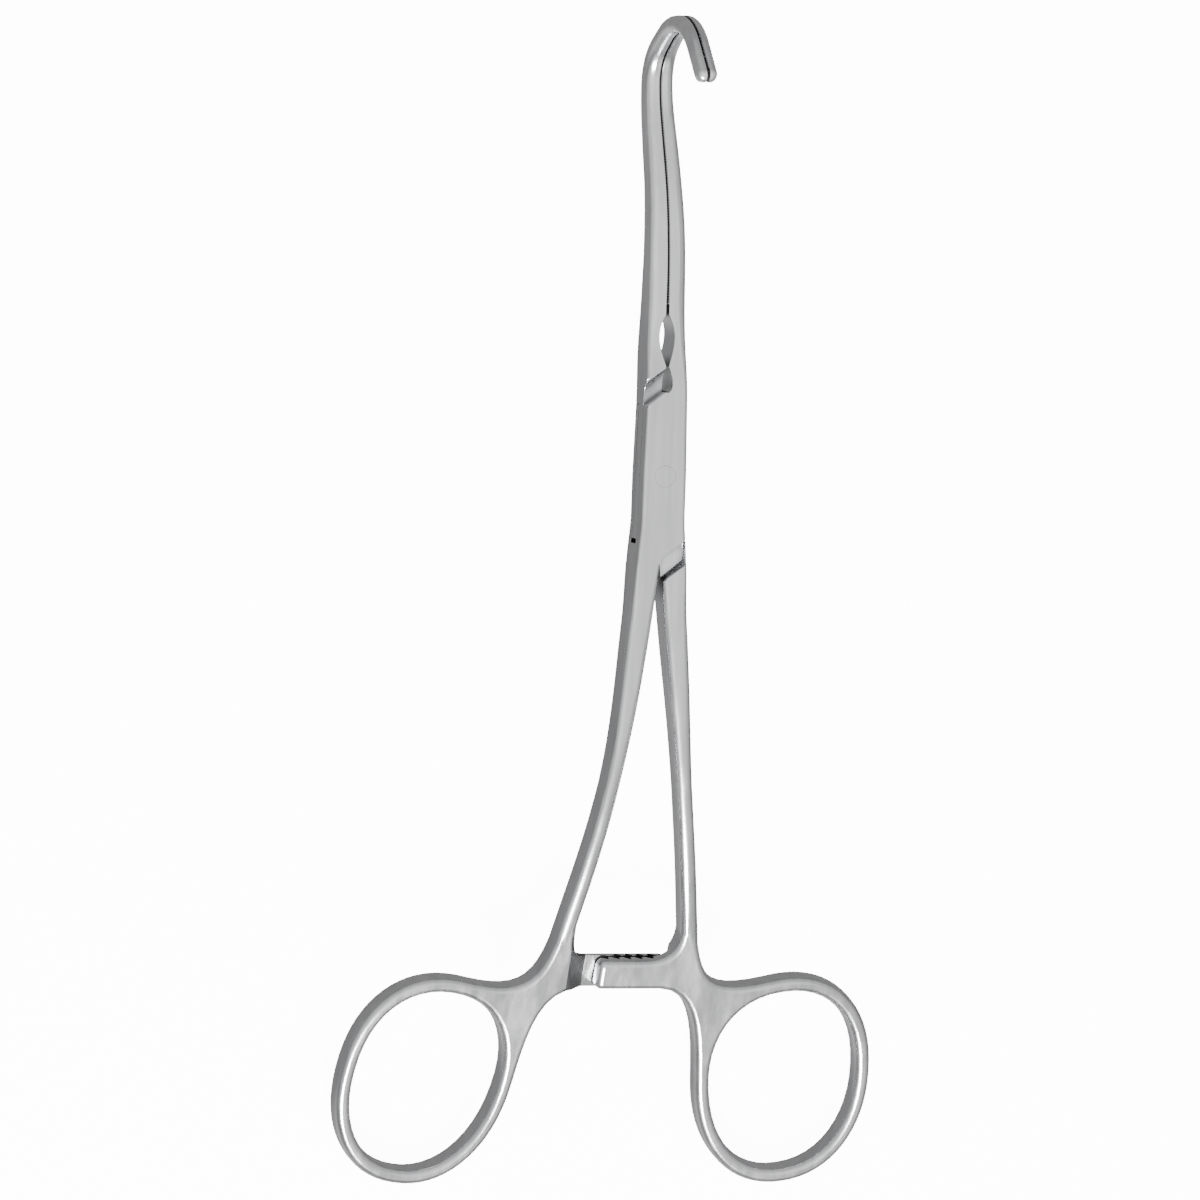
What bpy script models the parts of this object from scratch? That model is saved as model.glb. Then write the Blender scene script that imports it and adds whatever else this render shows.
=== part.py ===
"""Vena cava clamp: two one-piece forged halves joined by a box lock and a pin.

Frame: X across the jaws, +Y toward the hooked tip, +Z up, with the origin on the pivot axis
at the box lock's underside. Lengths are metres, angles are degrees.
The clamp is closed: the tongue half turns about +Z to open.
"""
import math

import bmesh
import bpy
from mathutils import Matrix, Vector

# Box lock
BOX_THICK = 0.0049
BOX_WIDTH_TOP = 0.0066
BOX_WIDTH_MID = 0.0071
BOX_WIDTH_BOTTOM = 0.0081
BOX_EDGE = 0.0006
CHEEK_TOP = 0.0125
CHEEK_BOTTOM = 0.0122
SHOULDER_ANGLE = 36.0
SHOULDER_RECESS = 0.0037
SHOULDER_RECESS_LOW = 0.0038
SHOULDER_GAP = 0.0002
SHOULDER_RIM = 0.0004
SCOOP_RISE = 0.00008
SCOOP_CURVE = 0.0030
SCOOP_CURVE_LOW = 0.0008
SCOOP_LEAD = 0.0015
SCOOP_INNER = 0.0030
TONGUE_THICK = 0.0017
TONGUE_END = 0.0094
TONGUE_INNER = 0.0004
SLOT_CLEAR = 0.00015
SLOT_END_CLEAR = 0.0006
PIN_RADIUS = 0.0016
PIN_CLEAR = 0.00008
PIN_SEAT = 0.00003

# Jaws: a path in the Y-Z plane of straight runs and bends, from the pivot to the tip
SLIT = 0.0005
BOX_RUN = 0.0100
DIP_RUN = 0.0060
DIP_TURN = 9.0
JAW_RUN = 0.0085
BOW_RUN = 0.0155
BOW_TURN = 17.5
SLOPE_RUN = 0.0070
LEVEL_RUN = 0.0049
LEVEL_TURN = 12.5
HOOK_LEAD = 0.0002
HOOK_RADIUS = 0.00775
HOOK_FIRST_TURN = 55.0
HOOK_FLAT = 0.0028
HOOK_SECOND_TURN = 89.0
TIP_RUN = 0.0066
JAW_WIDTH_ROOT = 0.0063
JAW_WIDTH_BOW = 0.0061
JAW_WIDTH_SLOPE = 0.0055
JAW_WIDTH_HOOK = 0.0047
JAW_WIDTH_TIP = 0.0034
JAW_THICK_ROOT = 0.0041
JAW_THICK_BOW = 0.0034
JAW_THICK_SLOPE = 0.0032
JAW_THICK_HOOK = 0.0030
JAW_THICK_TIP = 0.0024
JAW_ROUND = 0.42
WINDOW_START = 0.0163
WINDOW_END = 0.0242
WINDOW_HALF = 0.0011
WINDOW_SKEW = 0.57
POCKET_HALF = 0.00065
POCKET_SKEW = 0.35
POCKET_LAP = 0.0003
SLIT_CORNER = 0.0006

# Shanks: measured along Y from the pivot, with the handles bent down toward the rings
HANDLE_START = -0.0300
HANDLE_END = -0.0620
HANDLE_ANGLE = 17.9
SHANK_START = -0.0130
SHANK_INNER = 0.0002
SHANK_SPREAD_TOP = 0.00287
SHANK_SPREAD_MID = 0.0058
SHANK_SPREAD_END = 0.0102
SHANK_WIDTH_TOP = 0.00375
SHANK_WIDTH_MID = 0.0026
SHANK_WIDTH_END = 0.0028
SHANK_THICK_TOP = 0.0043
SHANK_THICK_MID = 0.0039
SHANK_THICK_END = 0.0039
SHANK_ROUND = 0.42
SHANK_BEND = 0.4
SHANK_JOIN = 0.0002
SHANK_LAP = 0.0038
SHANK_TAIL = 0.0040
SHANK_SINK = 0.0004

# Finger rings, in the plane of the handles
RING_X = 0.0287
RING_Y = -0.0916
RING_HOLE_ACROSS = 0.0231
RING_HOLE_ALONG = 0.0288
RING_BAND = 0.0024
RING_LEAN = 9.0
RING_SQUARE = 2.2
RING_EGG = 0.05
PLATE_THICK = 0.0038
PLATE_ROUND = 0.00105
PLATE_WALL = 0.0012
WEB_TOP = 0.0265
WEB_INSET = 0.00015
WEB_FLARE = 0.0020
WEB_EASE = 0.0101
RING_EASE = 0.0100
RING_INNER_EASE = 0.0058
ARM_ROOT = 0.0028
ARM_BLEND = 0.0050
ARM_SAG = 0.0003
ARM_CORNER = 0.0011
FRONT_FILLET_RUN = 0.0058
FRONT_FILLET_REACH = 0.0036
FRONT_FILLET_LIFT = 0.0018
FRONT_FILLET_LEAN = 1.0
REAR_FILLET_RUN = 0.0042
REAR_FILLET_REACH = 0.0026
REAR_FILLET_LIFT = 0.0007
REAR_FILLET_LEAN = 0.15

# Ratchet: an arm from each half, one over the other
RATCHET_LOW = 0.01485
RATCHET_FRONT_WIDTH = 0.0048
RATCHET_REAR_WIDTH = 0.0050
RATCHET_FRONT_END = 0.0039
RATCHET_REAR_END = 0.0074
RATCHET_GAP = 0.0003
RATCHET_GROOVE = 0.0017
RATCHET_WALL_CLEAR = 0.0003
RATCHET_RAMP = 1.6
RATCHET_REAR_RAMP = 0.2
TOOTH_HEIGHT = 0.0006
TOOTH_PITCH = 0.0018
TOOTH_FLOOR = 0.0003
TOOTH_LAND = 0.0004
TOOTH_COUNT = 5
TOOTH_FIRST_REAR = -0.0010
TOOTH_FIRST_FRONT = -0.0021

FAR = 0.0200
CUT_LAP = 0.0010
CUT_CREST = 0.0002
WELD = 0.00001
CORNER_STEPS = 4
MID_Z = BOX_THICK / 2.0
PLATE_RING_STEPS = 48


def clear_scene():
    for item in list(bpy.data.objects):
        bpy.data.objects.remove(item, do_unlink=True)


def new_collection(name):
    collection = bpy.data.collections.new(name)
    bpy.context.scene.collection.children.link(collection)
    return collection


def steel(name, colour, roughness):
    material = bpy.data.materials.new(name)
    material.use_nodes = True
    shader = material.node_tree.nodes["Principled BSDF"]
    shader.inputs["Base Color"].default_value = (*colour, 1.0)
    shader.inputs["Metallic"].default_value = 1.0
    shader.inputs["Roughness"].default_value = roughness
    return material


def add_mesh(name, bm, collection):
    bmesh.ops.recalc_face_normals(bm, faces=bm.faces)
    mesh = bpy.data.meshes.new(name)
    bm.to_mesh(mesh)
    bm.free()
    item = bpy.data.objects.new(name, mesh)
    collection.objects.link(item)
    return item


def apply_modifiers(item):
    graph = bpy.context.evaluated_depsgraph_get()
    graph.update()
    mesh = bpy.data.meshes.new_from_object(item.evaluated_get(graph))
    old = item.data
    item.modifiers.clear()
    item.data = mesh
    bpy.data.meshes.remove(old)


def boolean(item, other, operation):
    step = item.modifiers.new(operation.lower(), "BOOLEAN")
    step.operation = operation
    step.solver = "EXACT"
    step.object = other
    apply_modifiers(item)
    bpy.data.objects.remove(other, do_unlink=True)


def prism(name, outline, low, high, collection):
    """A closed prism from a plan outline of (x, y) points between two heights."""
    bm = bmesh.new()
    bottom = [bm.verts.new((x, y, low)) for x, y in outline]
    face = bm.faces.new(bottom)
    grown = bmesh.ops.extrude_face_region(bm, geom=[face])
    top = [v for v in grown["geom"] if isinstance(v, bmesh.types.BMVert)]
    bmesh.ops.translate(bm, verts=top, vec=(0.0, 0.0, high - low))
    return add_mesh(name, bm, collection)


def smooth_value(stations, s):
    """A value at s from (station, value) pairs, eased between neighbours."""
    if s <= stations[0][0]:
        return stations[0][1]
    for (s0, v0), (s1, v1) in zip(stations, stations[1:]):
        if s <= s1:
            t = (s - s0) / (s1 - s0)
            eased = t * t * (3.0 - 2.0 * t)
            return v0 + (v1 - v0) * (0.5 * t + 0.5 * eased)
    return stations[-1][1]


def section(width, thick, corner, steps):
    """A rounded rectangle as (across, up) points, counter-clockwise."""
    corner = min(corner, 0.49 * width, 0.49 * thick)
    points = []
    for quadrant in range(4):
        sx = 1.0 if quadrant in (0, 3) else -1.0
        sz = 1.0 if quadrant in (0, 1) else -1.0
        cx = sx * (width / 2.0 - corner)
        cz = sz * (thick / 2.0 - corner)
        for k in range(steps + 1):
            angle = math.radians(90.0 * quadrant + 90.0 * k / steps)
            points.append((cx + corner * math.cos(angle), cz + corner * math.sin(angle)))
    return points


def loft(name, rings, collection):
    """A closed solid through rings of equally many points."""
    bm = bmesh.new()
    rows = [[bm.verts.new(point) for point in ring] for ring in rings]
    count = len(rows[0])
    for low, high in zip(rows, rows[1:]):
        for k in range(count):
            j = (k + 1) % count
            bm.faces.new((low[k], low[j], high[j], high[k]))
    bm.faces.new(rows[0])
    bm.faces.new(list(reversed(rows[-1])))
    return add_mesh(name, bm, collection)


# The jaw path

def jaw_segments():
    dip = math.radians(DIP_TURN)
    first = math.radians(HOOK_FIRST_TURN)
    second = math.radians(HOOK_SECOND_TURN)
    return [
        (BOX_RUN, 0.0),
        (DIP_RUN, -dip),
        (DIP_RUN, dip),
        (JAW_RUN, 0.0),
        (BOW_RUN, -math.radians(BOW_TURN)),
        (SLOPE_RUN, 0.0),
        (LEVEL_RUN, math.radians(LEVEL_TURN)),
        (HOOK_LEAD, 0.0),
        (HOOK_RADIUS * first, first),
        (HOOK_FLAT, 0.0),
        (HOOK_RADIUS * second, second),
        (TIP_RUN, 0.0),
    ]


def jaw_point(s):
    """Position (y, z) from the box's middle and heading, at path length s."""
    y, z, heading = 0.0, 0.0, 0.0
    if s <= 0.0:
        return s, 0.0, 0.0
    for length, turn in jaw_segments():
        part = min(s, length)
        bend = turn * part / length
        if abs(bend) < 1e-9:
            y += part * math.cos(heading)
            z += part * math.sin(heading)
        else:
            radius = part / bend
            y += radius * (math.sin(heading + bend) - math.sin(heading))
            z += radius * (math.cos(heading) - math.cos(heading + bend))
            heading += bend
        s -= part
        if s <= 0.0:
            break
    return y, z, heading


def jaw_marks():
    """Path lengths at the start of each segment, and the whole length last."""
    marks = [0.0]
    for length, _ in jaw_segments():
        marks.append(marks[-1] + length)
    return marks


def jaw_rings():
    """Cross-sections of the full-width bar, from the box's lower end to the rounded tip."""
    marks = jaw_marks()
    total = marks[-1]
    root, bow, slope, hook, tip = marks[3], marks[4], marks[5], marks[8], marks[11]
    widths = [(SHANK_START, BOX_WIDTH_BOTTOM), (SHANK_START * 0.5, BOX_WIDTH_MID),
              (0.0, BOX_WIDTH_MID), (CHEEK_TOP, BOX_WIDTH_TOP), (WINDOW_START, BOX_WIDTH_TOP),
              (root + JAW_RUN * 0.5, JAW_WIDTH_ROOT), (bow + BOW_RUN * 0.3, JAW_WIDTH_BOW),
              (slope, JAW_WIDTH_SLOPE), (hook, JAW_WIDTH_HOOK), (tip, JAW_WIDTH_TIP)]
    thicks = [(CHEEK_TOP, BOX_THICK), (root + JAW_RUN * 0.5, JAW_THICK_ROOT),
              (bow + BOW_RUN * 0.3, JAW_THICK_BOW), (slope, JAW_THICK_SLOPE),
              (hook, JAW_THICK_HOOK), (tip, JAW_THICK_TIP)]
    rounds = [(CHEEK_TOP, BOX_EDGE / BOX_THICK), (root + JAW_RUN * 0.5, JAW_ROUND * 0.8),
              (slope, JAW_ROUND)]
    stations = [SHANK_START * (1.0 - k / 8.0) for k in range(9)]
    stations += [CHEEK_TOP * 0.4, CHEEK_TOP * 0.8, CHEEK_TOP]
    round_start = total - JAW_THICK_TIP / 2.0
    for first, last, count in ((CHEEK_TOP, bow, 9), (bow, slope, 7), (slope, marks[7], 6),
                               (marks[7], marks[9], 8), (marks[9], marks[10], 2),
                               (marks[10], tip, 10), (tip, round_start, 3)):
        stations += [first + (last - first) * (k + 1) / count for k in range(count)]
    sizes = [(s, 1.0) for s in stations]
    for k in range(1, 5):
        angle = math.radians(90.0 * k / 4.4)
        sizes.append((round_start + JAW_THICK_TIP / 2.0 * math.sin(angle), math.cos(angle)))
    rings = []
    for s, shrink in sizes:
        y, z, heading = jaw_point(s)
        width = smooth_value(widths, s)
        thick = smooth_value(thicks, s)
        corner = smooth_value(rounds, s) * thick
        width -= (1.0 - shrink) * thick
        thick *= shrink
        ring = []
        for across, up in section(width, thick, corner * shrink, CORNER_STEPS):
            ring.append((across, y - up * math.sin(heading), MID_Z + z + up * math.cos(heading)))
        rings.append(ring)
    return rings


# The handle path

def handle_point(y):
    """Height above the box's middle and slope of the handles at y."""
    radius = (HANDLE_START - HANDLE_END) / math.sin(math.radians(HANDLE_ANGLE))
    if y >= HANDLE_START:
        return 0.0, 0.0
    if y >= HANDLE_END:
        angle = math.asin((HANDLE_START - y) / radius)
        return -radius * (1.0 - math.cos(angle)), angle
    angle = math.radians(HANDLE_ANGLE)
    drop = radius * (1.0 - math.cos(angle)) + (HANDLE_END - y) * math.tan(angle)
    return -drop, angle


def plate_matrix():
    """The handles' plane: local X across, local Y up the shanks, origin between the ring centres."""
    z, angle = handle_point(RING_Y)
    return Matrix.Translation((0.0, RING_Y, MID_Z + z)) @ Matrix.Rotation(angle, 4, "X")


def web_y():
    """Where along Y the web's top edge is."""
    _, angle = handle_point(RING_Y)
    return RING_Y + WEB_TOP * math.cos(angle)


def shank_spreads():
    """Stations along -Y and the shank centre's distance from the middle at each."""
    end = SHANK_LAP - web_y()
    middle = SHANK_BEND * (end + HANDLE_START) - HANDLE_START
    return [(-SHANK_START, (BOX_WIDTH_BOTTOM / 2.0 + SHANK_INNER) / 2.0),
            (-HANDLE_START * 0.74, SHANK_SPREAD_TOP),
            (middle, SHANK_SPREAD_MID),
            (end, SHANK_SPREAD_END)]


def shank_rings(side):
    """Cross-sections of one shank, from inside its web up to the box's lower end."""
    spreads = shank_spreads()
    start, top, mid, end = [station for station, _ in spreads]
    last = end + SHANK_TAIL
    widths = [(start, BOX_WIDTH_BOTTOM / 2.0 - SHANK_INNER), (top, SHANK_WIDTH_TOP),
              (mid, SHANK_WIDTH_MID), (end, SHANK_WIDTH_END)]
    thicks = [(start, BOX_THICK), (top, SHANK_THICK_TOP), (mid, SHANK_THICK_MID),
              (end, SHANK_THICK_END), (last, PLATE_THICK - SHANK_SINK)]
    rounds = [(start, BOX_EDGE / BOX_THICK), (top, SHANK_ROUND * 0.6), (mid, SHANK_ROUND)]
    first = start + SHANK_JOIN
    count = 24
    rings = []
    for k in range(count + 1):
        s = last + (first - last) * k / count
        z, angle = handle_point(-s)
        x = side * spread_at(spreads, s)
        width = smooth_value(widths, s)
        thick = smooth_value(thicks, s)
        corner = smooth_value(rounds, s) * min(width, thick)
        ring = []
        for across, up in section(width, thick, corner, CORNER_STEPS):
            ring.append((x + across, -s - up * math.sin(angle), MID_Z + z + up * math.cos(angle)))
        rings.append(ring)
    return rings


def half_bar(name, side, collection):
    """One forging's bar: a shank on one side, then the whole width of the box and both jaws."""
    return loft(name, shank_rings(side) + jaw_rings(), collection)


def spread_at(stations, s):
    """A smooth curve through (station, value) pairs, carried on straight past the last one."""
    slopes = []
    for k in range(len(stations)):
        a = stations[max(k - 1, 0)]
        b = stations[min(k + 1, len(stations) - 1)]
        slopes.append((b[1] - a[1]) / (b[0] - a[0]))
    if s >= stations[-1][0]:
        return stations[-1][1] + slopes[-1] * (s - stations[-1][0])
    for k in range(len(stations) - 1):
        s0, v0 = stations[k]
        s1, v1 = stations[k + 1]
        if s <= s1:
            h = s1 - s0
            t = (s - s0) / h
            return ((2 * t ** 3 - 3 * t ** 2 + 1) * v0 + (t ** 3 - 2 * t ** 2 + t) * h * slopes[k]
                    + (3 * t ** 2 - 2 * t ** 3) * v1 + (t ** 3 - t ** 2) * h * slopes[k + 1])
    return stations[-1][1]


# Rings, webs and ratchet arms

def ring_edge(angle):
    """A point of the right-hand ring's hole about its own centre, before it leans."""
    power = 2.0 / RING_SQUARE
    c, d = math.cos(angle), math.sin(angle)
    across = math.copysign(abs(c) ** power, c)
    along = math.copysign(abs(d) ** power, d)
    return Vector((RING_HOLE_ACROSS / 2.0 * across * (1.0 + RING_EGG * along),
                   RING_HOLE_ALONG / 2.0 * along))


def ring_points(grow, first, last, count):
    """Points round the right-hand ring's hole, or outside it by a band, between two angles."""
    lean = Matrix.Rotation(math.radians(RING_LEAN), 2)
    step = math.radians(0.5)
    points = []
    for k in range(count):
        angle = math.radians(first + (last - first) * k / (count - 1))
        tangent = (ring_edge(angle + step) - ring_edge(angle - step)).normalized()
        point = ring_edge(angle) + grow * Vector((tangent.y, -tangent.x))
        point = lean @ point
        points.append((RING_X + point.x, point.y))
    return points


def ahead(p, q, reach):
    """A point past q on the line from p, by reach."""
    step = (Vector(q) - Vector(p)).normalized() * reach
    return (q[0] + step.x, q[1] + step.y)


def bezier(p0, p1, p2, p3, count):
    points = []
    for k in range(1, count):
        t = k / count
        points.append(tuple((1 - t) ** 3 * a + 3 * (1 - t) ** 2 * t * b + 3 * (1 - t) * t ** 2 * c
                            + t ** 3 * d for a, b, c, d in zip(p0, p1, p2, p3)))
    return points


def web_x():
    """The shank centre where the web starts."""
    return spread_at(shank_spreads(), -web_y())


def web_lean():
    """How far the shank's centre moves outward for each step down the plate at the web's top."""
    _, angle = handle_point(RING_Y)
    spreads = shank_spreads()
    s = -web_y()
    return (spread_at(spreads, s + SHANK_JOIN) - spread_at(spreads, s)) / SHANK_JOIN * math.cos(angle)


def plate_outline(arm_end, arm_width, fillet):
    """The right-hand plate: ring, web up to the shank, and ratchet arm across to arm_end."""
    outer = ring_points(RING_BAND, 97.0, -173.0, 50)
    centre = web_x()
    half = SHANK_WIDTH_END / 2.0 - WEB_INSET
    arm_low = RATCHET_LOW
    arm_high = RATCHET_LOW + arm_width
    points = [(centre - half, WEB_TOP), (centre + half, WEB_TOP)]
    points += bezier(points[-1], (centre + half + WEB_FLARE, WEB_TOP - WEB_EASE),
                     ahead(outer[1], outer[0], RING_EASE), outer[0], 12)
    points += outer
    arm_root = (centre - ARM_ROOT, arm_low)
    points += bezier(outer[-1], ahead(outer[-2], outer[-1], RING_INNER_EASE),
                     (centre + ARM_BLEND, arm_low - ARM_SAG), arm_root, 12)
    points.append(arm_root)
    tip = ARM_CORNER
    for k in range(5):
        angle = math.radians(270.0 - 90.0 * k / 4)
        points.append((arm_end + tip + tip * math.cos(angle), arm_low + tip + tip * math.sin(angle)))
    for k in range(5):
        angle = math.radians(180.0 - 90.0 * k / 4)
        points.append((arm_end + tip + tip * math.cos(angle), arm_high - tip + tip * math.sin(angle)))
    run, reach, lift, lean = fillet
    root = (centre - run, arm_high)
    points.append(root)
    outward = lean * web_lean() * (WEB_TOP - arm_high - lift)
    points += bezier(root, (root[0] + reach, arm_high),
                     (centre - half + outward, arm_high + lift), points[0], 14)
    return points


def plate(name, side, arm_end, arm_width, fillet, collection):
    """Ring, web and arm as one flat outline in the handles' plane.

    Its edges are half ovals: a round bevel, stretched across the plate to leave a low wall.
    """
    stretch = (PLATE_THICK - PLATE_WALL) / 2.0 / PLATE_ROUND
    curve = bpy.data.curves.new(name, "CURVE")
    curve.dimensions = "2D"
    curve.fill_mode = "BOTH"
    curve.extrude = PLATE_WALL / 2.0 / stretch
    curve.bevel_depth = PLATE_ROUND
    curve.bevel_resolution = 4
    curve.offset = -PLATE_ROUND
    hole = ring_points(0.0, 0.0, 360.0 - 360.0 / PLATE_RING_STEPS, PLATE_RING_STEPS)
    outlines = [plate_outline(arm_end, arm_width, fillet), hole]
    for points in outlines:
        line = curve.splines.new("POLY")
        line.points.add(len(points) - 1)
        for target, (x, y) in zip(line.points, points):
            target.co = (side * x, y, 0.0, 1.0)
        line.use_cyclic_u = True
    guide = bpy.data.objects.new(name + "_outline", curve)
    collection.objects.link(guide)
    guide.matrix_world = plate_matrix()
    graph = bpy.context.evaluated_depsgraph_get()
    graph.update()
    mesh = bpy.data.meshes.new_from_object(guide.evaluated_get(graph))
    bm = bmesh.new()
    bm.from_mesh(mesh)
    bmesh.ops.remove_doubles(bm, verts=bm.verts, dist=WELD)
    bm.transform(plate_matrix() @ Matrix.Scale(stretch, 4, (0.0, 0.0, 1.0)))
    bpy.data.objects.remove(guide, do_unlink=True)
    bpy.data.meshes.remove(mesh)
    return add_mesh(name, bm, collection)


def recess(name, side, reach, face, ramp, collection):
    """The space beside one ratchet arm: below it for face -1, above it for face +1."""
    low = RATCHET_LOW - 3.0 * CUT_LAP
    high = RATCHET_LOW + RATCHET_REAR_WIDTH + 3.0 * CUT_LAP
    depth = PLATE_THICK
    crest = -face * RATCHET_GAP / 2.0
    outline = [(-side * FAR, crest), (side * reach, crest),
               (side * (reach + (depth + RATCHET_GAP / 2.0) * ramp), face * depth), (-side * FAR, face * depth)]
    item = prism(name, outline, low, high, collection)
    turn = Matrix(((1, 0, 0, 0), (0, 0, 1, 0), (0, 1, 0, 0), (0, 0, 0, 1)))
    item.data.transform(plate_matrix() @ turn)
    bm = bmesh.new()
    bm.from_mesh(item.data)
    bmesh.ops.recalc_face_normals(bm, faces=bm.faces)
    bm.to_mesh(item.data)
    bm.free()
    return item


def tooth_gaps(name, side, first, face, collection):
    """Saw-tooth gaps cut across an arm, on the face toward the other arm."""
    low = RATCHET_LOW - CUT_LAP
    high = RATCHET_LOW + RATCHET_REAR_WIDTH + CUT_LAP
    crest = -face * RATCHET_GAP / 2.0
    bm = bmesh.new()
    for k in range(TOOTH_COUNT):
        x = first + k * TOOTH_PITCH
        profile = [(x, crest + face * CUT_CREST), (x, crest - face * TOOTH_HEIGHT),
                   (x + side * TOOTH_FLOOR, crest - face * TOOTH_HEIGHT),
                   (x + side * (TOOTH_PITCH - TOOTH_LAND), crest + face * CUT_CREST)]
        a = [bm.verts.new((px, low, pz)) for px, pz in profile]
        b = [bm.verts.new((px, high, pz)) for px, pz in profile]
        bm.faces.new(a)
        bm.faces.new(list(reversed(b)))
        for j in range(len(profile)):
            i = (j + 1) % len(profile)
            bm.faces.new((a[i], a[j], b[j], b[i]))
    bm.transform(plate_matrix())
    return add_mesh(name, bm, collection)


# Plan outlines of the box lock

def shoulder_y(x):
    """Height along Y of the slanted tongue end at x, on the upper right of the box."""
    return TONGUE_END + (BOX_WIDTH_MID / 2.0 - x) * math.tan(math.radians(SHOULDER_ANGLE))


def tongue_plan(grow):
    """Outline of the tongue, or of its slot when grown: open to both sides."""
    rise = grow / math.cos(math.radians(SHOULDER_ANGLE))
    side = BOX_WIDTH_MID / 2.0
    inner = -TONGUE_INNER + grow
    upper = [(FAR, TONGUE_END + rise), (side, TONGUE_END + rise), (inner, shoulder_y(inner) + rise),
             (inner, WINDOW_START + CUT_LAP), (-FAR, WINDOW_START + CUT_LAP)]
    return upper + [(-x, -y) for x, y in upper]


def cheek_line(x, clear):
    """The slanted edge of the cheeks on the upper left, or a line beyond it by a clearance."""
    angle = math.radians(SHOULDER_ANGLE)
    return CHEEK_TOP + (x + TONGUE_INNER) * math.tan(angle) + clear / math.cos(angle)


def low_cheek_line(x, clear):
    """The same edge on the lower right."""
    angle = math.radians(SHOULDER_ANGLE)
    return -CHEEK_BOTTOM + x * math.tan(angle) - clear / math.cos(angle)


def left_jaw_space():
    """Plan of what the box half leaves free for the other jaw."""
    return [(SLIT / 2.0, 5.0 * FAR), (-FAR, 5.0 * FAR), (-FAR, cheek_line(-FAR, 0.0)),
            (-TONGUE_INNER, CHEEK_TOP), (SLIT / 2.0, CHEEK_TOP)]


def right_shank_space():
    """Plan of what the box half leaves free for the other shank."""
    inner = -SHANK_INNER / 2.0
    return [(FAR, low_cheek_line(FAR, 0.0)), (inner, low_cheek_line(inner, 0.0)),
            (inner, SHANK_START - CUT_LAP), (FAR, SHANK_START - CUT_LAP)]


def box_wall_space():
    """Plan of what the tongue half leaves free for the box half's jaw and shank."""
    side = BOX_WIDTH_MID / 2.0
    top = CHEEK_TOP + SHOULDER_RECESS
    low = SHANK_INNER / 2.0
    upper = [(-SLIT / 2.0, 5.0 * FAR), (FAR, 5.0 * FAR), (FAR, TONGUE_END), (side, TONGUE_END),
             (-TONGUE_INNER, shoulder_y(-TONGUE_INNER)), (-TONGUE_INNER, top - SLIT_CORNER),
             (-SLIT / 2.0, top)]
    lower = [(-FAR, -TONGUE_END), (-side, -TONGUE_END), (low, -shoulder_y(-low)),
             (low, SHANK_START - CUT_LAP), (-FAR, SHANK_START - CUT_LAP)]
    return upper, lower


def cheek_plan():
    """Plan of the two cheeks with the gap to the shoulders."""
    return [(-FAR, cheek_line(-FAR, SHOULDER_GAP)), (-FAR, low_cheek_line(-FAR, SHOULDER_GAP)),
            (FAR, low_cheek_line(FAR, SHOULDER_GAP)), (FAR, cheek_line(FAR, SHOULDER_GAP))]


def shoulder_scoop(name, face, end, collection):
    """The recess from the cheeks' edge back to a curved shoulder, on one face of the tongue half.

    It is cut for end +1 at the jaw and for end -1 at the shank. It leaves a rim at the side, and
    runs out through it only at the jaw's upper face.
    """
    angle = math.radians(SHOULDER_ANGLE)
    floor = TONGUE_THICK / 2.0 + SCOOP_RISE
    top = BOX_THICK / 2.0 + CUT_LAP
    reach = SHOULDER_RECESS if end > 0 else SHOULDER_RECESS_LOW
    curve = SCOOP_CURVE if end > 0 else SCOOP_CURVE_LOW
    profile = [(-SCOOP_LEAD, floor)]
    for k in range(7):
        turn = math.radians(90.0 * k / 6)
        profile.append((reach - curve * (1.0 - math.sin(turn)),
                        floor + (BOX_THICK / 2.0 - floor) * (1.0 - math.cos(turn))))
    profile += [(reach, top), (-SCOOP_LEAD, top)]
    side = BOX_WIDTH_TOP / 2.0 if end > 0 else BOX_WIDTH_BOTTOM / 2.0
    side += CUT_LAP if end > 0 and face > 0 else -SHOULDER_RIM
    cheek = CHEEK_TOP + TONGUE_INNER * math.tan(angle) if end > 0 else CHEEK_BOTTOM
    bm = bmesh.new()
    rows = []
    for x in (-side, SCOOP_INNER):
        rows.append([bm.verts.new((end * x, end * (cheek + x * math.tan(angle) + v), MID_Z + face * z))
                     for v, z in profile])
    bm.faces.new(rows[0])
    bm.faces.new(list(reversed(rows[1])))
    for j in range(len(profile)):
        i = (j + 1) % len(profile)
        bm.faces.new((rows[0][i], rows[0][j], rows[1][j], rows[1][i]))
    return add_mesh(name, bm, collection)


def lens(start, end, half, skew):
    """A pointed oval about the middle line, widest at skew of its length."""
    points = []
    count = 12
    for k in range(count + 1):
        t = k / count
        y = start + (end - start) * t
        bulge = 0.0
        if 0 < k < count:
            bulge = math.sin(math.pi * t ** (math.log(0.5) / math.log(skew))) ** 0.8
        points.append((SLIT / 4.0 + half * bulge, y))
    left = [(-x, y) for x, y in reversed(points)]
    return points + left


def window(collection):
    """The gap between the jaws above the box."""
    return prism("window", lens(WINDOW_START - CUT_CREST, WINDOW_END, WINDOW_HALF, WINDOW_SKEW), -FAR, FAR,
                 collection)


def pocket(collection):
    """The gap beside the tongue where it leaves the box."""
    return prism("pocket", lens(CHEEK_TOP, WINDOW_START + POCKET_LAP, POCKET_HALF, POCKET_SKEW), -FAR, FAR,
                 collection)


def disc(name, radius, low, high, collection):
    bm = bmesh.new()
    bmesh.ops.create_cone(bm, cap_ends=True, segments=48, radius1=radius, radius2=radius,
                          depth=high - low)
    bmesh.ops.translate(bm, verts=bm.verts, vec=(0.0, 0.0, (low + high) / 2.0))
    return add_mesh(name, bm, collection)


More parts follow.
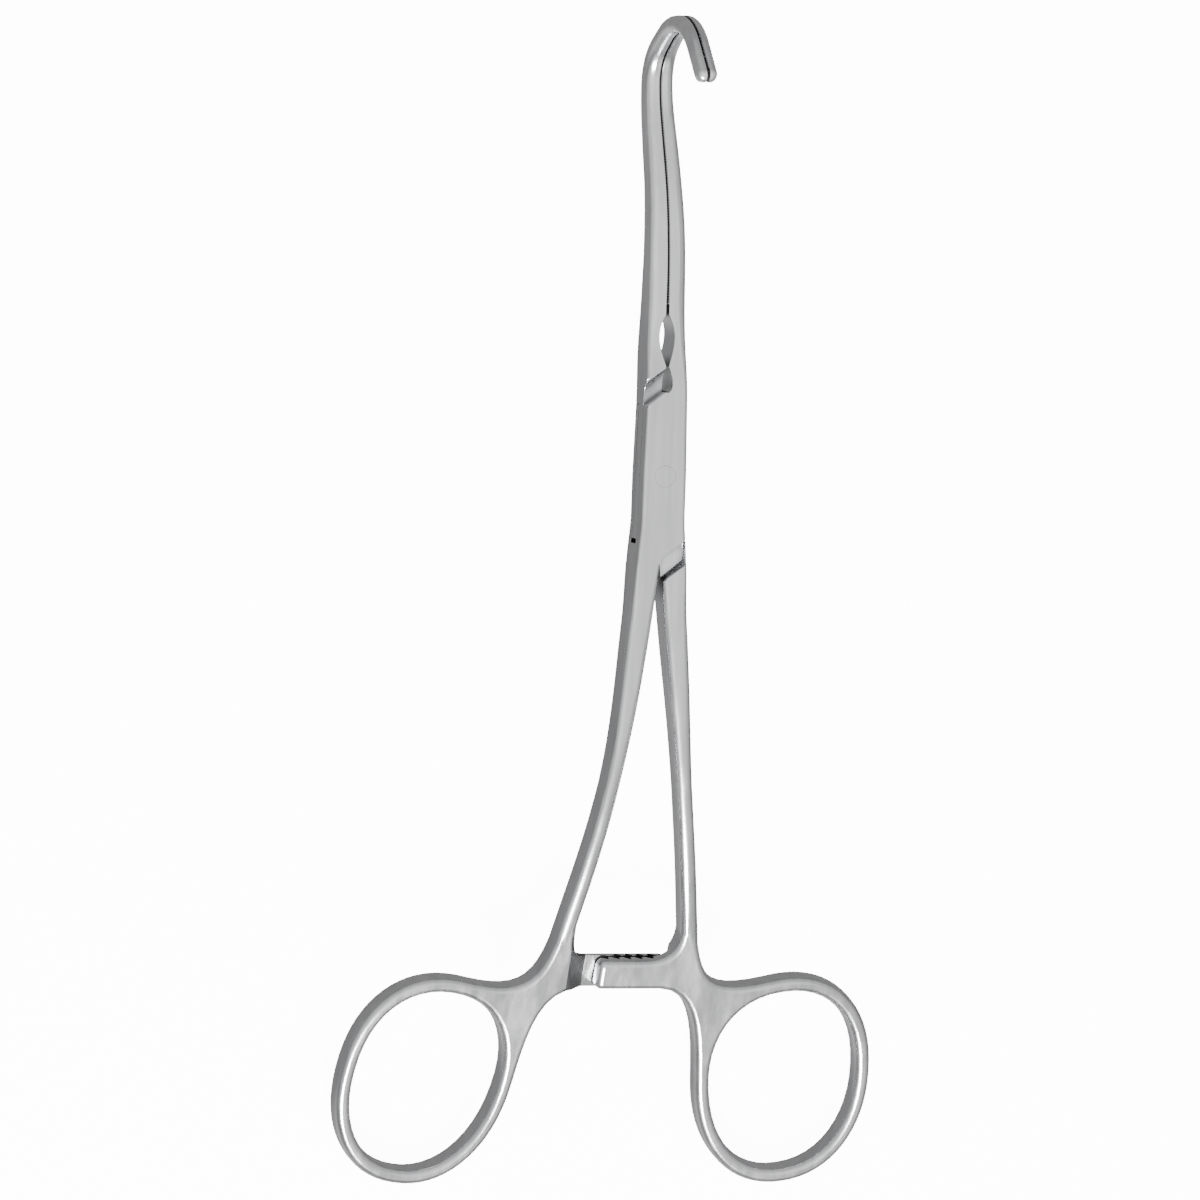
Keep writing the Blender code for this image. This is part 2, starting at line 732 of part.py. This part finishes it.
def box_half(parts, tools):
    """Right jaw, slotted box, left shank, left ring and the rear ratchet arm."""
    half = half_bar("box_half", -1.0, parts)
    for plan in (left_jaw_space(), right_shank_space()):
        boolean(half, prism("space", plan, -FAR, FAR, tools), "DIFFERENCE")
    for cutter in (window(tools), pocket(tools)):
        boolean(half, cutter, "DIFFERENCE")
    slot = TONGUE_THICK / 2.0 + SLOT_CLEAR
    boolean(half, prism("slot", tongue_plan(SLOT_END_CLEAR), MID_Z - slot, MID_Z + slot, tools),
            "DIFFERENCE")
    boolean(half, disc("bore", PIN_RADIUS + PIN_SEAT, -FAR, FAR, tools), "DIFFERENCE")
    fillet = (REAR_FILLET_RUN, REAR_FILLET_REACH, REAR_FILLET_LIFT, REAR_FILLET_LEAN)
    lower = plate("left_plate", -1.0, -RATCHET_REAR_END, RATCHET_REAR_WIDTH, fillet, tools)
    wall = RATCHET_FRONT_END + RATCHET_GROOVE
    boolean(lower, recess("recess", -1.0, wall, 1.0, RATCHET_RAMP, tools), "DIFFERENCE")
    boolean(lower, tooth_gaps("teeth", 1.0, TOOTH_FIRST_REAR, 1.0, tools), "DIFFERENCE")
    boolean(half, lower, "UNION")
    return half


def tongue_half(parts, tools):
    """Left jaw, tongue, right shank, right ring and the front ratchet arm."""
    half = half_bar("tongue_half", 1.0, parts)
    for plan in box_wall_space():
        boolean(half, prism("space", plan, -FAR, FAR, tools), "DIFFERENCE")
    boolean(half, window(tools), "DIFFERENCE")
    thin = TONGUE_THICK / 2.0
    for low, high in ((MID_Z + thin, FAR), (-FAR, MID_Z - thin)):
        boolean(half, prism("cheeks", cheek_plan(), low, high, tools), "DIFFERENCE")
    for face in (1.0, -1.0):
        for end in (1.0, -1.0):
            boolean(half, shoulder_scoop("scoop", face, end, tools), "DIFFERENCE")
    boolean(half, disc("bore", PIN_RADIUS + PIN_CLEAR, -FAR, FAR, tools), "DIFFERENCE")
    fillet = (FRONT_FILLET_RUN, FRONT_FILLET_REACH, FRONT_FILLET_LIFT, FRONT_FILLET_LEAN)
    upper = plate("right_plate", 1.0, -RATCHET_FRONT_END, RATCHET_FRONT_WIDTH, fillet, tools)
    wall = RATCHET_REAR_END + RATCHET_WALL_CLEAR
    boolean(upper, recess("recess", 1.0, wall, -1.0, RATCHET_REAR_RAMP, tools), "DIFFERENCE")
    boolean(upper, tooth_gaps("teeth", -1.0, TOOTH_FIRST_FRONT, -1.0, tools), "DIFFERENCE")
    boolean(half, upper, "UNION")
    return half


def finish(item, material):
    item.data.materials.clear()
    item.data.materials.append(material)
    item.data.shade_smooth()
    item.data.set_sharp_from_angle(angle=math.radians(30.0))


def main():
    clear_scene()
    parts = new_collection("vena_cava_clamp")
    tools = new_collection("cutters")
    body = box_half(parts, tools)
    arm = tongue_half(parts, tools)
    pin = disc("pivot_pin", PIN_RADIUS, 0.0, BOX_THICK, parts)
    finish(body, steel("box_half_steel", (0.56, 0.57, 0.58), 0.34))
    finish(arm, steel("tongue_half_steel", (0.57, 0.58, 0.59), 0.34))
    finish(pin, steel("pin_steel", (0.55, 0.56, 0.57), 0.30))


main()
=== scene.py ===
"""Vena cava clamp: the finish of its steel, the fine teeth of its jaws, light, floor and camera."""
import math

import bmesh
import bpy
from mathutils import Matrix, Vector


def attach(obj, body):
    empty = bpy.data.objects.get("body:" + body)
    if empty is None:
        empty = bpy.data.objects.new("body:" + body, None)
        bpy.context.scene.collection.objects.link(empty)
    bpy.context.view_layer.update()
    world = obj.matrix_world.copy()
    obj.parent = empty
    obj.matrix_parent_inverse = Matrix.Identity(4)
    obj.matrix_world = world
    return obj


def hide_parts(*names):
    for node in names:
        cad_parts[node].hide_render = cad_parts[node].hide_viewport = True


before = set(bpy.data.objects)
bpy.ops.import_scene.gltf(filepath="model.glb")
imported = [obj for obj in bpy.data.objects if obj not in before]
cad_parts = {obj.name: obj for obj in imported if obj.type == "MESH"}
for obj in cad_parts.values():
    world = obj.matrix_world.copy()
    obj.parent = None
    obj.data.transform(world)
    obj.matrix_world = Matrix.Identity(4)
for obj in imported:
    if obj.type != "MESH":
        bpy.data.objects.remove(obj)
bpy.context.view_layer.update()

# Camera: looks from the upper left of the box lock's face, down a long lens
VIEW_RIGHT = Vector((0.9277, 0.0351, 0.3716))
VIEW_UP = Vector((0.0, 0.9956, -0.0940))
VIEW_WIDTH = 0.1785
VIEW_SHIFT_RIGHT = -0.0088
VIEW_SHIFT_UP = -0.0186
PIVOT = Vector((0.0, 0.0, 0.00245))
LENS = 1600.0
SENSOR = 36.0
CLIP_END = 50.0

# Floor: white, and it glows so that no shadow shows on it
FLOOR_HALF = 2.5
FLOOR_Z = -0.0200
FLOOR_GREY = 0.95
FLOOR_ROUGHNESS = 0.9
FLOOR_GLOW = 12.0

# World: greys by the Z of the direction, and a glow that grows over these spans of Y and Z
WORLD_STRENGTH = 1.0
WORLD_STOPS = ((-1.0, 0.31), (-0.3, 0.33), (0.1, 0.29), (0.4, 0.70), (0.7, 0.80), (1.0, 1.42))
GROUND_GLOW = 0.45
GROUND_Y = (-0.12, -0.50)
GROUND_Z = (-0.20, -0.60)

# Softbox
SOFTBOX_SIZE = (0.46, 0.38)
SOFTBOX_POWER = 34.0
SOFTBOX_PLACE = Vector((-0.21, -0.86, 0.77))
SOFTBOX_AIM = Vector((0.0, -0.02, 0.0))

# Steel of the clamp and of the fine teeth
SATIN_COLOUR = (0.66, 0.665, 0.68)
SATIN_ROUGHNESS = 0.245
TEETH_COLOUR = (0.60, 0.605, 0.62)
TEETH_ROUGHNESS = 0.30

# Clouds, streaks and grain: scale, detail and stretch of each noise, and how far it reaches
CLOUD_NOISE = (220.0, 5.0, (1.0, 0.35, 1.0))
STREAK_NOISE = (900.0, 3.0, (1.0, 0.05, 1.0))
GRAIN_NOISE = (3200.0, 3.0, (1.0, 1.0, 1.0))
NOISE_SPAN = (0.3, 0.7)
CLOUD_ROUGHNESS = 0.05
STREAK_ROUGHNESS = 0.03
STREAK_SHARE = 0.5
TINT_DARK = 0.86
TINT_LIGHT = 1.12
GRAIN_STRENGTH = 0.4
GRAIN_DEPTH = 0.00002

# Jaws: painted light, the steel's colour grows brighter over this span of Y
JAW_PAINTED_LIGHT_SPAN = (0.015, 0.050)
JAW_PAINTED_LIGHT = 1.24

# Crevices: painted shade, the steel's colour darkened where other faces are near
CREVICE_REACH = 0.0015
CREVICE_PAINTED_SHADE = 0.30
CREVICE_SPAN = (0.12, 0.88)
CREVICE_SAMPLES = 8

# Edges: shaded as if rounded, from outside the pin's rim to the ends of the lock
EDGE_ROUND = 0.00012
EDGE_SAMPLES = 6
PIN_CRISP = (0.0020, 0.0026)
LOCK_REACH = (0.0260, 0.0290)

# Shells: points this near are one, faces this flat are one, edges this sharp stay sharp
MERGE = 0.000001
FLAT_ANGLE = math.radians(0.3)
SHARP_ANGLE = math.radians(30.0)
NORMAL_WEIGHT = 80

# The milled ramp of the rear ratchet arm: its span along X, its end along Y, the plate's front face
RECESS_X = (-0.0092, -0.0056)
RECESS_Y = (-0.0700, -0.0690)
HANDLE_BEND = math.radians(17.9)
PLATE_NORMAL = Vector((0.0, -math.sin(HANDLE_BEND), math.cos(HANDLE_BEND)))
PLATE_FRONT = 0.018495
RECESS_SKIN = 0.00003
# Painted shade on the ramp, as a share of the steel's colour, then the roughness added there
RECESS_PAINTED_SHADE = 0.18
RECESS_ROUGHNESS = 0.25

# Jaw path: lengths and turns in degrees from the pivot to the tip, as the solids have it
HOOK_RADIUS = 0.00775
JAW_PATH = (
    (0.0100, 0.0),
    (0.0060, -9.0),
    (0.0060, 9.0),
    (0.0085, 0.0),
    (0.0155, -17.5),
    (0.0070, 0.0),
    (0.0049, 12.5),
    (0.0002, 0.0),
    (HOOK_RADIUS * math.radians(55.0), 55.0),
    (0.0028, 0.0),
    (HOOK_RADIUS * math.radians(89.0), 89.0),
    (0.0066, 0.0),
)
STRAIGHT = 1e-9

# Jaw thickness at lengths along that path
JAW_THICKNESS = (
    (0.02625, 0.0041),
    (0.03515, 0.0034),
    (0.0460, 0.0032),
    (0.0581, 0.0030),
    (0.0804, 0.0024),
)

# Fine teeth on the faces of the jaws
JAW_FACE = 0.00025
TEETH_START = 0.0256
TEETH_END_MARGIN = 0.0014
TEETH_EDGE_MARGIN = 0.0001
TEETH_PITCH = 0.0004
TEETH_RISE = 0.00013
TEETH_SINK = 0.00003
TEETH_GROOVE = 0.00018


def add_object(name, data):
    thing = bpy.data.objects.new(name, data)
    bpy.context.scene.collection.objects.link(thing)
    return thing


def add_mesh(name, bm, material):
    """An object made from a bmesh, which is freed."""
    mesh = bpy.data.meshes.new(name)
    bm.to_mesh(mesh)
    bm.free()
    mesh.materials.append(material)
    return add_object(name, mesh)


def grey(value):
    return (value, value, value, 1.0)


def scaled(colour, factor):
    return (*(factor * channel for channel in colour), 1.0)


def add_camera():
    data = bpy.data.cameras.new("camera")
    data.lens = LENS
    data.sensor_width = SENSOR
    data.clip_end = CLIP_END
    camera = add_object("camera", data)
    right = VIEW_RIGHT.normalized()
    up = (VIEW_UP - VIEW_UP.dot(right) * right).normalized()
    back = right.cross(up)
    turn = Matrix((right, up, back)).transposed()
    distance = LENS / SENSOR * VIEW_WIDTH
    aim = PIVOT + VIEW_SHIFT_RIGHT * right + VIEW_SHIFT_UP * up
    camera.matrix_world = Matrix.Translation(aim + distance * back) @ turn.to_4x4()
    bpy.context.scene.camera = camera


def map_range(tree, source, low, high, to_low, to_high):
    """From to_low at low to to_high at high, and no further."""
    node = tree.nodes.new("ShaderNodeMapRange")
    node.inputs["From Min"].default_value = low
    node.inputs["From Max"].default_value = high
    node.inputs["To Min"].default_value = to_low
    node.inputs["To Max"].default_value = to_high
    tree.links.new(source, node.inputs["Value"])
    return node.outputs["Result"]


def combine(tree, operation, first, second):
    """Two numbers added or multiplied."""
    node = tree.nodes.new("ShaderNodeMath")
    node.operation = operation
    tree.links.new(first, node.inputs[0])
    tree.links.new(second, node.inputs[1])
    return node.outputs["Value"]


def split_axes(tree, vector):
    node = tree.nodes.new("ShaderNodeSeparateXYZ")
    tree.links.new(vector, node.inputs["Vector"])
    return node.outputs


def add_noise(tree, place, scale, detail, stretch):
    """A noise texture in the object's own space, stretched along its axes."""
    mapping = tree.nodes.new("ShaderNodeMapping")
    mapping.inputs["Scale"].default_value = stretch
    tree.links.new(place, mapping.inputs["Vector"])
    noise = tree.nodes.new("ShaderNodeTexNoise")
    noise.inputs["Scale"].default_value = scale
    noise.inputs["Detail"].default_value = detail
    tree.links.new(mapping.outputs["Vector"], noise.inputs["Vector"])
    return noise.outputs["Fac"]


def mix_colour(tree, factor):
    """A mix of two colours, A and B, which the caller sets or links."""
    node = tree.nodes.new("ShaderNodeMix")
    node.data_type = "RGBA"
    tree.links.new(factor, node.inputs["Factor"])
    return node


def recess_mask(tree, place):
    """1 on the milled ramp of the rear ratchet arm, below the plate's front face, else 0: where painted
    shade goes on the colour and the roughness rises.
    """
    height = tree.nodes.new("ShaderNodeVectorMath")
    height.operation = "DOT_PRODUCT"
    height.inputs[1].default_value = PLATE_NORMAL
    tree.links.new(place, height.inputs[0])
    floor, front = PLATE_FRONT - 2.0 * RECESS_SKIN, PLATE_FRONT - RECESS_SKIN
    left, right = RECESS_X
    axes = split_axes(tree, place)
    after = map_range(tree, axes["X"], left, left + RECESS_SKIN, 0.0, 1.0)
    before = map_range(tree, axes["X"], right, right + RECESS_SKIN, 1.0, 0.0)
    low = map_range(tree, axes["Y"], *RECESS_Y, 1.0, 0.0)
    mask = map_range(tree, height.outputs["Value"], floor, front, 1.0, 0.0)
    for factor in (after, before, low):
        mask = combine(tree, "MULTIPLY", mask, factor)
    return mask


def steel_colour(tree, place, colour, cloud, streak, recess):
    """Clouds and streaks, with painted light brightening the jaws and painted shade in crevices and on
    the milled ramp.
    """
    tint = mix_colour(tree, combine(
        tree, "ADD",
        map_range(tree, cloud, *NOISE_SPAN, 0.0, 1.0 - STREAK_SHARE),
        map_range(tree, streak, *NOISE_SPAN, 0.0, STREAK_SHARE)))
    tint.inputs["A"].default_value = scaled(colour, TINT_DARK)
    tint.inputs["B"].default_value = scaled(colour, TINT_LIGHT)

    along = split_axes(tree, place)["Y"]
    # Painted light: the colour brightens along the jaws
    painted_jaw_light = tree.nodes.new("ShaderNodeVectorMath")
    painted_jaw_light.operation = "SCALE"
    tree.links.new(tint.outputs["Result"], painted_jaw_light.inputs[0])
    tree.links.new(map_range(tree, along, *JAW_PAINTED_LIGHT_SPAN, 1.0, JAW_PAINTED_LIGHT), painted_jaw_light.inputs["Scale"])

    # Painted shade: the colour darkens where ambient occlusion finds other faces near
    open_air = tree.nodes.new("ShaderNodeAmbientOcclusion")
    open_air.samples = CREVICE_SAMPLES
    open_air.inputs["Distance"].default_value = CREVICE_REACH
    painted_crevice_shade = mix_colour(tree, map_range(tree, open_air.outputs["AO"], *CREVICE_SPAN, 0.0, 1.0))
    painted_crevice_shade.inputs["A"].default_value = scaled(colour, CREVICE_PAINTED_SHADE)
    tree.links.new(painted_jaw_light.outputs["Vector"], painted_crevice_shade.inputs["B"])

    # Painted shade on the milled ramp
    painted_ramp_shade = mix_colour(tree, recess)
    tree.links.new(painted_crevice_shade.outputs["Result"], painted_ramp_shade.inputs["A"])
    painted_ramp_shade.inputs["B"].default_value = scaled(colour, RECESS_PAINTED_SHADE)
    return painted_ramp_shade.outputs["Result"]


def steel_roughness(tree, roughness, cloud, streak, recess):
    """Clouds and streaks about the given roughness, and more of it on the milled ramp."""
    patches = map_range(tree, cloud, *NOISE_SPAN, -CLOUD_ROUGHNESS, CLOUD_ROUGHNESS)
    lines = map_range(tree, streak, *NOISE_SPAN,
                      roughness - STREAK_ROUGHNESS, roughness + STREAK_ROUGHNESS)
    coarse = tree.nodes.new("ShaderNodeMath")
    coarse.operation = "MULTIPLY_ADD"
    coarse.inputs[1].default_value = RECESS_ROUGHNESS
    tree.links.new(recess, coarse.inputs[0])
    tree.links.new(combine(tree, "ADD", patches, lines), coarse.inputs[2])
    return coarse.outputs["Value"]


def steel_normal(tree, place):
    """Blasted grain, on edges that are rounded by their distance from the pin's axis."""
    flatten = tree.nodes.new("ShaderNodeVectorMath")
    flatten.operation = "MULTIPLY"
    flatten.inputs[1].default_value = (1.0, 1.0, 0.0)
    tree.links.new(place, flatten.inputs[0])
    from_axis = tree.nodes.new("ShaderNodeVectorMath")
    from_axis.operation = "LENGTH"
    tree.links.new(flatten.outputs["Vector"], from_axis.inputs[0])
    distance = from_axis.outputs["Value"]
    edge = tree.nodes.new("ShaderNodeBevel")
    edge.samples = EDGE_SAMPLES
    radius = combine(
        tree, "MULTIPLY",
        map_range(tree, distance, *PIN_CRISP, 0.0, EDGE_ROUND),
        map_range(tree, distance, *LOCK_REACH, 1.0, 0.0))
    tree.links.new(radius, edge.inputs["Radius"])
    bump = tree.nodes.new("ShaderNodeBump")
    bump.inputs["Strength"].default_value = GRAIN_STRENGTH
    bump.inputs["Distance"].default_value = GRAIN_DEPTH
    tree.links.new(add_noise(tree, place, *GRAIN_NOISE), bump.inputs["Height"])
    tree.links.new(edge.outputs["Normal"], bump.inputs["Normal"])
    return bump.outputs["Normal"]


def steel_material(name, colour, roughness):
    """Satin stainless steel: blasted grain, faint polishing streaks along the clamp, soft clouds."""
    material = bpy.data.materials.new(name)
    material.use_nodes = True
    tree = material.node_tree
    shader = tree.nodes["Principled BSDF"]
    shader.inputs["Metallic"].default_value = 1.0
    place = tree.nodes.new("ShaderNodeTexCoord").outputs["Object"]
    cloud = add_noise(tree, place, *CLOUD_NOISE)
    streak = add_noise(tree, place, *STREAK_NOISE)
    recess = recess_mask(tree, place)
    tree.links.new(steel_colour(tree, place, colour, cloud, streak, recess), shader.inputs["Base Color"])
    tree.links.new(steel_roughness(tree, roughness, cloud, streak, recess), shader.inputs["Roughness"])
    tree.links.new(steel_normal(tree, place), shader.inputs["Normal"])
    return material


def smooth_shell(name, node, body, material):
    """A copy of a solid's surface with its flats whole and its rounded stretches smooth."""
    bm = bmesh.new()
    bm.from_mesh(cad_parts[node].data)
    bmesh.ops.remove_doubles(bm, verts=bm.verts, dist=MERGE)
    bmesh.ops.dissolve_limit(bm, angle_limit=FLAT_ANGLE, verts=bm.verts, edges=bm.edges)
    shell = add_mesh(name, bm, material)
    shell.data.shade_smooth()
    shell.data.set_sharp_from_angle(angle=SHARP_ANGLE)
    weighted = shell.modifiers.new("weighted_normals", "WEIGHTED_NORMAL")
    weighted.keep_sharp = True
    weighted.weight = NORMAL_WEIGHT
    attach(shell, body)
    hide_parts(node)


def jaw_frame(s):
    """Point (y, z) and heading on the jaws' middle line, at path length s."""
    y, z, heading = 0.0, PIVOT.z, 0.0
    for length, degrees in JAW_PATH:
        part = min(s, length)
        bend = math.radians(degrees) * part / length
        middle = heading + bend / 2.0
        chord = part if abs(bend) < STRAIGHT else 2.0 * part / bend * math.sin(bend / 2.0)
        y += chord * math.cos(middle)
        z += chord * math.sin(middle)
        heading += bend
        s -= part
        if s <= 0.0:
            break
    return y, z, heading


def jaw_thickness(s):
    """Thickness of the jaws at path length s."""
    for (s0, t0), (s1, t1) in zip(JAW_THICKNESS, JAW_THICKNESS[1:]):
        if s <= s1:
            return t0 + (t1 - t0) * max(0.0, s - s0) / (s1 - s0)
    return JAW_THICKNESS[-1][1]


def jaw_teeth(name, side, body, material):
    """The fine cross teeth on one jaw's face, in two rows with a groove between them."""
    bm = bmesh.new()
    end = sum(length for length, _ in JAW_PATH) - TEETH_END_MARGIN
    count = int((end - TEETH_START) / TEETH_PITCH)
    base = side * (JAW_FACE + TEETH_SINK)
    root = side * (JAW_FACE - TEETH_SINK)
    crest = side * (JAW_FACE - TEETH_RISE)
    for row in (-1.0, 1.0):
        rings = []
        for k in range(2 * count + 1):
            s = TEETH_START + k * TEETH_PITCH / 2.0
            y, z, heading = jaw_frame(s)
            up = Vector((0.0, -math.sin(heading), math.cos(heading)))
            half = jaw_thickness(s) / 2.0 - TEETH_EDGE_MARGIN
            top = crest if k % 2 else root
            profile = ((TEETH_GROOVE, base), (TEETH_GROOVE, top), (half, top), (half, base))
            rings.append([bm.verts.new(Vector((x, y, z)) + row * reach * up) for reach, x in profile])
        for first, second in zip(rings, rings[1:]):
            for j in range(4):
                i = (j + 1) % 4
                bm.faces.new((first[j], first[i], second[i], second[j]))
        bm.faces.new(rings[0])
        bm.faces.new(list(reversed(rings[-1])))
    bmesh.ops.recalc_face_normals(bm, faces=bm.faces)
    teeth = add_mesh(name, bm, material)
    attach(teeth, body)


def add_softbox():
    data = bpy.data.lights.new("softbox", "AREA")
    data.shape = "RECTANGLE"
    data.size, data.size_y = SOFTBOX_SIZE
    data.energy = SOFTBOX_POWER
    lamp = add_object("softbox", data)
    turn = (SOFTBOX_AIM - SOFTBOX_PLACE).to_track_quat("-Z", "Y")
    lamp.matrix_world = Matrix.Translation(SOFTBOX_PLACE) @ turn.to_matrix().to_4x4()


def add_floor():
    material = bpy.data.materials.new("floor_white")
    material.use_nodes = True
    shader = material.node_tree.nodes["Principled BSDF"]
    shader.inputs["Base Color"].default_value = grey(FLOOR_GREY)
    shader.inputs["Roughness"].default_value = FLOOR_ROUGHNESS
    shader.inputs["Emission Color"].default_value = grey(1.0)
    shader.inputs["Emission Strength"].default_value = FLOOR_GLOW
    bm = bmesh.new()
    corners = ((-FLOOR_HALF, -FLOOR_HALF), (FLOOR_HALF, -FLOOR_HALF),
               (FLOOR_HALF, FLOOR_HALF), (-FLOOR_HALF, FLOOR_HALF))
    bm.faces.new([bm.verts.new((x, y, FLOOR_Z)) for x, y in corners])
    floor = add_mesh("floor", bm, material)
    floor.visible_glossy = False
    floor.visible_diffuse = False


def add_world():
    """A plain studio: bright above, mid grey at the sides, dim below and paler toward the rings."""
    world = bpy.data.worlds.new("studio")
    world.use_nodes = True
    tree = world.node_tree
    axes = split_axes(tree, tree.nodes.new("ShaderNodeTexCoord").outputs["Generated"])
    ramp = tree.nodes.new("ShaderNodeValToRGB")
    ramp.color_ramp.interpolation = "EASE"
    stops = ramp.color_ramp.elements
    stops[0].position, stops[0].color = 0.0, grey(WORLD_STOPS[0][1])
    stops[1].position, stops[1].color = 1.0, grey(WORLD_STOPS[-1][1])
    for z, value in WORLD_STOPS[1:-1]:
        stops.new((z + 1.0) / 2.0).color = grey(value)
    tree.links.new(map_range(tree, axes["Z"], -1.0, 1.0, 0.0, 1.0), ramp.inputs["Fac"])
    near = map_range(tree, axes["Y"], *GROUND_Y, 0.0, GROUND_GLOW)
    below = map_range(tree, axes["Z"], *GROUND_Z, 0.0, 1.0)
    ground = combine(tree, "MULTIPLY", near, below)
    background = tree.nodes["Background"]
    background.inputs["Strength"].default_value = WORLD_STRENGTH
    tree.links.new(combine(tree, "ADD", ramp.outputs["Color"], ground), background.inputs["Color"])
    bpy.context.scene.world = world


add_camera()
add_world()
add_floor()
add_softbox()

satin = steel_material("satin_steel", SATIN_COLOUR, SATIN_ROUGHNESS)
smooth_shell("box_half_steel", "box_half", "box_arm", satin)
smooth_shell("tongue_half_steel", "tongue_half", "tongue_arm", satin)
smooth_shell("pivot_pin_steel", "pivot_pin", "box_arm", satin)

teeth_steel = steel_material("teeth_steel", TEETH_COLOUR, TEETH_ROUGHNESS)
jaw_teeth("jaw_teeth_left", -1.0, "tongue_arm", teeth_steel)
jaw_teeth("jaw_teeth_right", 1.0, "box_arm", teeth_steel)
